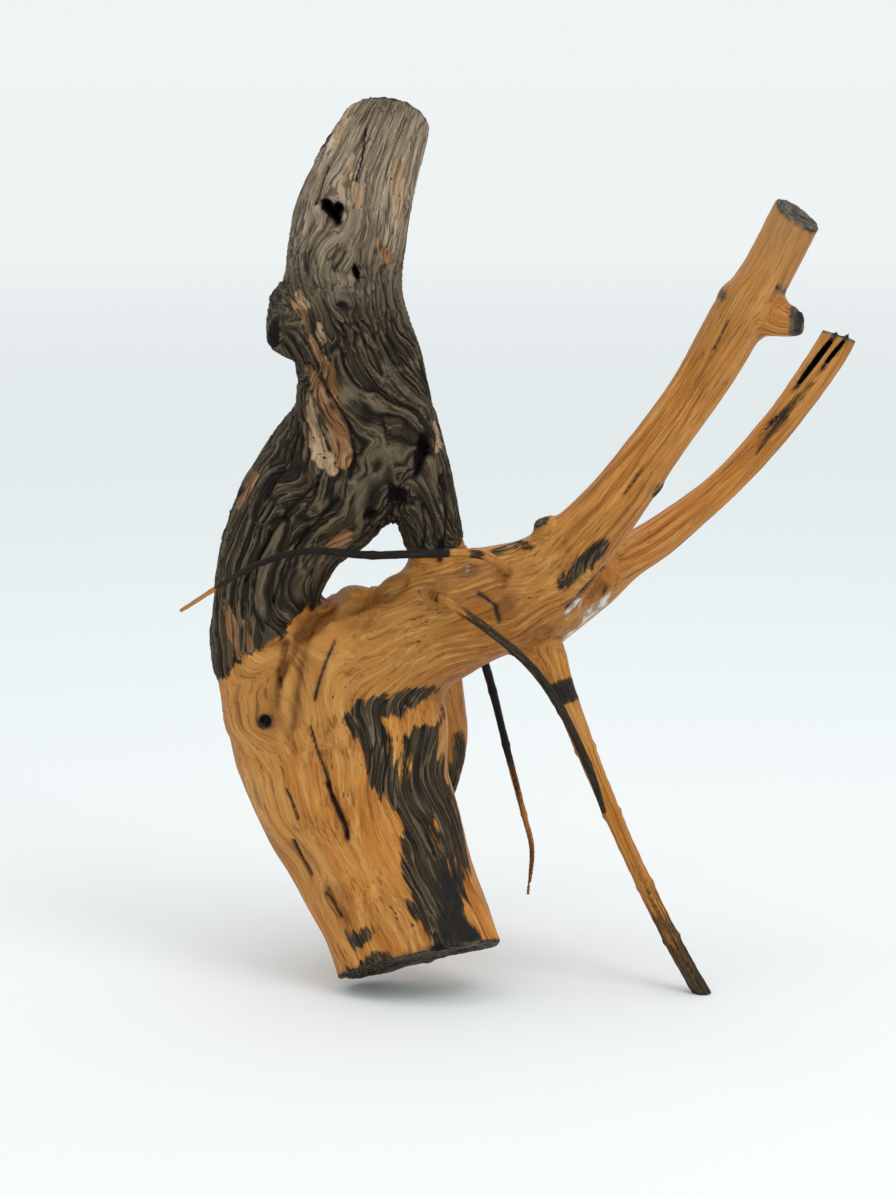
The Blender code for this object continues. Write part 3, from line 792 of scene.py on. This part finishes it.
young_and_lit = mix(spread(off_line, 0.030, 0.010, 0.0, 0.7), young_and_lit, (0.050, 0.034, 0.020))
# The grey wood is paler towards the trunk's top: partly younger wood, partly painted light from above.
is_young_and_lit = times(attribute("young_and_lit"), spread(clouds(34), 0.30, 0.56, 0.45, 1.0))
grey = mix(is_young_and_lit, old, young_and_lit)
grey = mix(times(attribute("on_crest"), 0.5), grey, (0.24, 0.185, 0.115))
grey = mix(times(attribute("in_line"), 0.9), grey, (0.005, 0.003, 0.002))
# Painted shade in the hollows between swellings.
grey = mix(spread(attribute("cavity_shade"), 0.3, 1.6, 0.0, 0.75), grey, (0.009, 0.006, 0.003))
grey = mix(times(attribute("char"), 0.9), grey, (0.007, 0.005, 0.004))

ragged = times(sum_of(fibres(1.0, 12, 3), -0.5), 7.0)
is_grey = spread(sum_of(attribute("weathered"), ragged), -0.9, 1.1)
colour = mix(is_grey, honey, grey)
tan_wood = ramp(thread, (0.36, (0.055, 0.024, 0.008)), (0.48, (0.22, 0.105, 0.042)),
                (0.64, (0.40, 0.225, 0.11)))
colour = mix(spread(sum_of(attribute("tan"), times(ragged, 0.3)), -0.4, 0.5, 0.0, 0.95), colour, tan_wood)
pale_wood = ramp(thread, (0.36, (0.13, 0.075, 0.035)), (0.48, (0.37, 0.235, 0.125)),
                 (0.64, (0.52, 0.37, 0.24)))
pale_wood = mix(spread(clouds(2.6, 2), 0.36, 0.30), pale_wood, (0.03, 0.02, 0.012))
colour = mix(spread(sum_of(attribute("pale"), times(ragged, 0.3)), -0.4, 0.5, 0.0, 0.9), colour, pale_wood)
white_wood = ramp(clouds(5, 4), (0.36, (0.30, 0.24, 0.17)), (0.52, (0.62, 0.58, 0.52)),
                  (0.66, (0.78, 0.76, 0.73)))
colour = mix(spread(sum_of(attribute("white"), times(ragged, 0.6)), -0.8, 1.4, 0.0, 0.9), colour, white_wood)
from_middle = sum_of(attribute("ring"), times(clouds(6, 2), 2.5))
rings = node("ShaderNodeMath", {"operation": "SINE"}, i0=times(from_middle, 3.4)).outputs[0]
end_tone = sum_of(clouds(3.5, 5), times(rings, 0.08))
end_wood = ramp(end_tone, (0.34, (0.012, 0.008, 0.005)), (0.52, (0.055, 0.040, 0.026)),
                (0.70, (0.15, 0.115, 0.078)))
colour = mix(attribute("sawn"), colour, end_wood)
# Painted shade inside the holes and hair cracks.
colour = mix(attribute("hole_and_crack_shade"), colour, (0.006, 0.004, 0.003))
links.new(colour, shader.inputs["Base Color"])

gloss = mix(is_grey, (0.52, 0.52, 0.52), mix(attribute("char"), (0.82, 0.82, 0.82), (0.42, 0.42, 0.42)))
links.new(sum_of(gloss, times(sum_of(thread, -0.5), 0.35)), shader.inputs["Roughness"])
shader.inputs["Specular IOR Level"].default_value = 0.22
rise = sum_of(times(thread, sum_of(times(is_grey, 1.3), 0.5)), times(hair, sum_of(times(is_grey, 0.5), 0.35)))
bump = node("ShaderNodeBump", None, Strength=0.9, Distance=0.0009, Height=rise)
links.new(bump.outputs[0], shader.inputs["Normal"])
skin.materials.clear()
skin.materials.append(surface)

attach(wood, "root")
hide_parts("driftwood")

# ------------------------------------------------------------------------------------------------- studio
# A plain white sweep of paper, a broad soft light from above and the right, and a camera at eye level that
# looks slightly down on the piece. The paper is a little darker where the light is strongest.
bpy.ops.mesh.primitive_plane_add(size=120, location=(0, 0, -0.0005))
sweep = bpy.context.object
sweep.name = "studio_floor"
paper = bpy.data.materials.new("studio_paper")
paper.use_nodes = True
nodes, links = paper.node_tree.nodes, paper.node_tree.links
reach = node("ShaderNodeVectorMath", {"operation": "LENGTH"}, i0=node("ShaderNodeTexCoord").outputs["Object"])
tone = ramp(times(reach.outputs["Value"], 0.1), (0.03, (0.79, 0.805, 0.805)), (0.07, (0.78, 0.81, 0.81)),
            (0.16, (0.81, 0.845, 0.845)), (0.6, (0.985, 0.99, 0.99)))
links.new(tone, nodes["Principled BSDF"].inputs["Base Color"])
nodes["Principled BSDF"].inputs["Roughness"].default_value = 0.9
nodes["Principled BSDF"].inputs["Specular IOR Level"].default_value = 0.2
sweep.data.materials.append(paper)

world = bpy.data.worlds.new("studio_air")
world.use_nodes = True
world.node_tree.nodes["Background"].inputs["Color"].default_value = (0.871, 0.905, 0.913, 1)
world.node_tree.nodes["Background"].inputs["Strength"].default_value = 1.0
bpy.context.scene.world = world
bpy.context.scene.view_settings.view_transform = "Standard"


def soft_light(name, place, aim, size, power):
    """A square area light that looks at a point."""
    lamp = bpy.data.lights.new(name, "AREA")
    lamp.size = size
    lamp.energy = power
    holder = bpy.data.objects.new(name, lamp)
    bpy.context.scene.collection.objects.link(holder)
    holder.location = place
    holder.rotation_euler = (Vector(aim) - Vector(place)).to_track_quat("-Z", "Y").to_euler()


soft_light("key", (0.7, -0.7, 1.5), (-0.03, 0, 0.2), 0.8, 7)
soft_light("top", (-0.2, 0.1, 1.6), (-0.03, 0, 0.2), 1.0, 5)

TARGET = Vector((-0.037, 0.016, 0.186))
DISTANCE, LOOK_DOWN = 1.5, radians(10)
camera_data = bpy.data.cameras.new("camera")
camera_data.sensor_width = 36
camera_data.lens = 90.4
camera = bpy.data.objects.new("camera", camera_data)
bpy.context.scene.collection.objects.link(camera)
camera.location = TARGET + Vector((0, -cos(LOOK_DOWN), sin(LOOK_DOWN))) * DISTANCE
camera.rotation_euler = (pi / 2 - LOOK_DOWN, 0, 0)
bpy.context.scene.camera = camera
